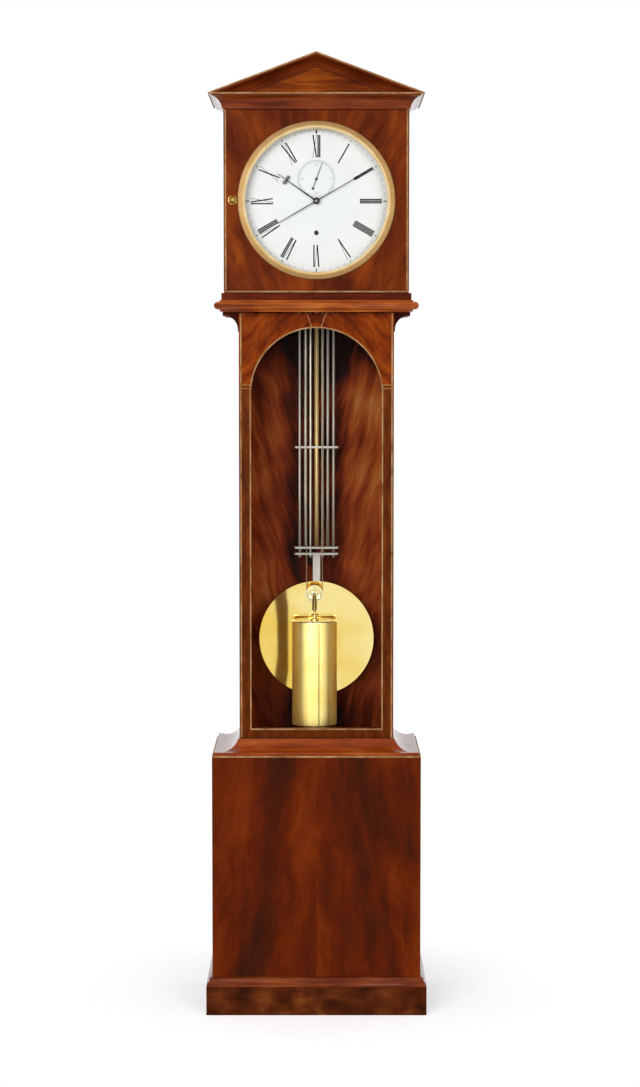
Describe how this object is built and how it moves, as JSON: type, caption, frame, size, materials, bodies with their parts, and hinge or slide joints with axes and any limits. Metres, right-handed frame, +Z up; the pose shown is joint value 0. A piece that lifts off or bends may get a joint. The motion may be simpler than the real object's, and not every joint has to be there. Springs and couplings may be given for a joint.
{
  "type": "regulator clock",
  "caption": "Floor-standing regulator clock: veneered case with glazed trunk and hood doors, round dial, gridiron pendulum, driving weight on a pulley and a full wheel train.",
  "frame": {"origin": "on the floor under the middle of the plinth", "axes": "+Z up, the dial faces -Y, +X to the right seen from the front"},
  "size_m": [0.468, 0.292, 2.026],
  "materials": {
    "veneer": "french polished",
    "carcase_wood": "oiled",
    "stringing": "french polished",
    "glass": "clear",
    "gilt": "satin gilt",
    "brass": "polished",
    "steel": "ground",
    "blued_steel": "blued",
    "enamel": "fired white",
    "gut": "twisted gut"
  },
  "bodies": {
    "case": {"plinth_skirt": "veneer", "plinth_moulding": "veneer", "base_front_panel": "veneer", "base_side_panels": "veneer", "base_carcase_boards": "carcase_wood", "base_cove_moulding": "veneer", "trunk_side_panels": "veneer", "backboards": "carcase_wood", "waist_brackets": "veneer", "waist_shelf": "veneer", "hood_base_rail": "veneer", "hood_side_panels": "veneer", "hood_cornice": "veneer", "pediment_rakes": "veneer", "pediment_tympanum": "veneer", "hood_roof_boards": "carcase_wood", "case_stringing": "stringing", "case_hinge_pins": "brass", "movement_bracket": "brass", "movement_screws": "steel", "movement_cocks": "brass", "front_plate": "brass", "back_plate": "brass", "plate_pillars": "brass", "dial_plate": "enamel", "weight_line": "gut"},
    "trunk_door": {"trunk_door_frame": "veneer", "trunk_door_glass": "glass", "trunk_door_bead": "veneer", "trunk_door_stringing": "stringing", "trunk_door_hinge_plates": "brass"},
    "hood_door": {"hood_door_panel": "veneer", "bezel_ring": "gilt", "hood_door_glass": "glass", "hood_door_stringing": "stringing", "hood_door_hinge_plates": "brass"},
    "hood_catch": {"hood_door_knob": "gilt"},
    "escape_arbor": {"escape_wheel": "brass", "seconds_hand": "blued_steel"},
    "third_arbor": {"third_wheel": "brass"},
    "centre_arbor": {"centre_wheel": "brass", "minute_hand": "blued_steel"},
    "minute_work": {"minute_wheel": "brass"},
    "hour_work": {"hour_wheel": "brass", "hour_hand": "blued_steel"},
    "intermediate_arbor": {"intermediate_wheel": "brass"},
    "great_arbor": {"great_wheel": "brass"},
    "drum": {"winding_drum": "brass"},
    "anchor": {"pallet_anchor": "steel"},
    "pendulum": {"suspension_spring": "steel", "gridiron_steel_rods": "steel", "gridiron_brass_rods": "brass", "gridiron_bridges": "brass", "pendulum_stem": "steel"},
    "bob": {"pendulum_bob": "brass"},
    "rating": {"rating_nut": "brass"},
    "weight": {"weight_body": "brass", "pulley_stirrup": "brass", "line_pulley_loop": "gut"},
    "pulley": {"pulley_wheel": "brass"}
  },
  "joints": [
    {"name": "trunk_door_swing", "type": "hinge", "parent": "case", "child": "trunk_door", "pos_m": [0.158, -0.07, 1], "axis": [0, 0, 1], "range_deg": [0, 110]},
    {"name": "hood_door_swing", "type": "hinge", "parent": "case", "child": "hood_door", "pos_m": [0.188, -0.1, 1.722], "axis": [0, 0, 1], "range_deg": [0, 110]},
    {"name": "hood_catch_turn", "type": "hinge", "parent": "hood_door", "child": "hood_catch", "pos_m": [-0.175, -0.095, 1.722], "axis": [0, -1, 0], "range_deg": [0, 90]},
    {"name": "escape_spin", "type": "hinge", "parent": "case", "child": "escape_arbor", "pos_m": [0, -0.02, 1.768], "axis": [0, 1, 0], "continuous": true},
    {"name": "third_spin", "type": "hinge", "parent": "case", "child": "third_arbor", "pos_m": [-0.01669, -0.02, 1.74872], "axis": [0, 1, 0], "continuous": true},
    {"name": "centre_spin", "type": "hinge", "parent": "case", "child": "centre_arbor", "pos_m": [0, -0.02, 1.722], "axis": [0, 1, 0], "continuous": true},
    {"name": "minute_wheel_spin", "type": "hinge", "parent": "case", "child": "minute_work", "pos_m": [0.024, -0.062, 1.722], "axis": [0, 1, 0], "continuous": true},
    {"name": "hour_spin", "type": "hinge", "parent": "case", "child": "hour_work", "pos_m": [0, -0.07, 1.722], "axis": [0, 1, 0], "continuous": true},
    {"name": "intermediate_spin", "type": "hinge", "parent": "case", "child": "intermediate_arbor", "pos_m": [0.01435, -0.02, 1.69162], "axis": [0, 1, 0], "continuous": true},
    {"name": "great_wheel_spin", "type": "hinge", "parent": "case", "child": "great_arbor", "pos_m": [0, -0.02, 1.656], "axis": [0, 1, 0], "continuous": true},
    {"name": "pendulum_swing", "type": "hinge", "parent": "case", "child": "pendulum", "pos_m": [0, 0.083, 1.803], "axis": [0, 1, 0], "range_deg": [-1.2, 1.2]},
    {"name": "anchor_swing", "type": "hinge", "parent": "case", "child": "anchor", "pos_m": [0, 0, 1.803], "axis": [0, 1, 0], "range_deg": [-1.2, 1.2]},
    {"name": "bob_rating", "type": "slide", "parent": "pendulum", "child": "bob", "axis": [0, 0, 1], "range_m": [0, 0.006]},
    {"name": "rating_nut_turn", "type": "hinge", "parent": "bob", "child": "rating", "pos_m": [0, 0.083, 0.6515], "axis": [0, 0, 1], "range_deg": [0, 1440]},
    {"name": "weight_lift", "type": "slide", "parent": "case", "child": "weight", "axis": [0, 0, 1], "range_m": [0, 0.6], "deforming": ["weight_line"]},
    {"name": "drum_turn", "type": "hinge", "parent": "case", "child": "drum", "pos_m": [0, 0, 1.656], "axis": [0, 1, 0], "range_deg": [-5420, 0]},
    {"name": "pulley_turn", "type": "hinge", "parent": "weight", "child": "pulley", "pos_m": [-0.0043, 0.003, 0.885], "axis": [0, 1, 0], "range_deg": [-2030, 0]}
  ],
  "couplings": [
    {"joint": "third_spin", "follows": "escape_spin", "ratio": -0.13333},
    {"joint": "centre_spin", "follows": "escape_spin", "ratio": 0.016667},
    {"joint": "minute_wheel_spin", "follows": "escape_spin", "ratio": -0.0055556},
    {"joint": "hour_spin", "follows": "escape_spin", "ratio": 0.0013889},
    {"joint": "intermediate_spin", "follows": "escape_spin", "ratio": -0.002381},
    {"joint": "great_wheel_spin", "follows": "escape_spin", "ratio": 0.00034014},
    {"joint": "anchor_swing", "follows": "pendulum_swing", "ratio": 1},
    {"joint": "rating_nut_turn", "follows": "bob_rating", "rad_per_m": 4188.8},
    {"joint": "drum_turn", "follows": "weight_lift", "rad_per_m": -157.48},
    {"joint": "pulley_turn", "follows": "weight_lift", "rad_per_m": -58.824}
  ]
}
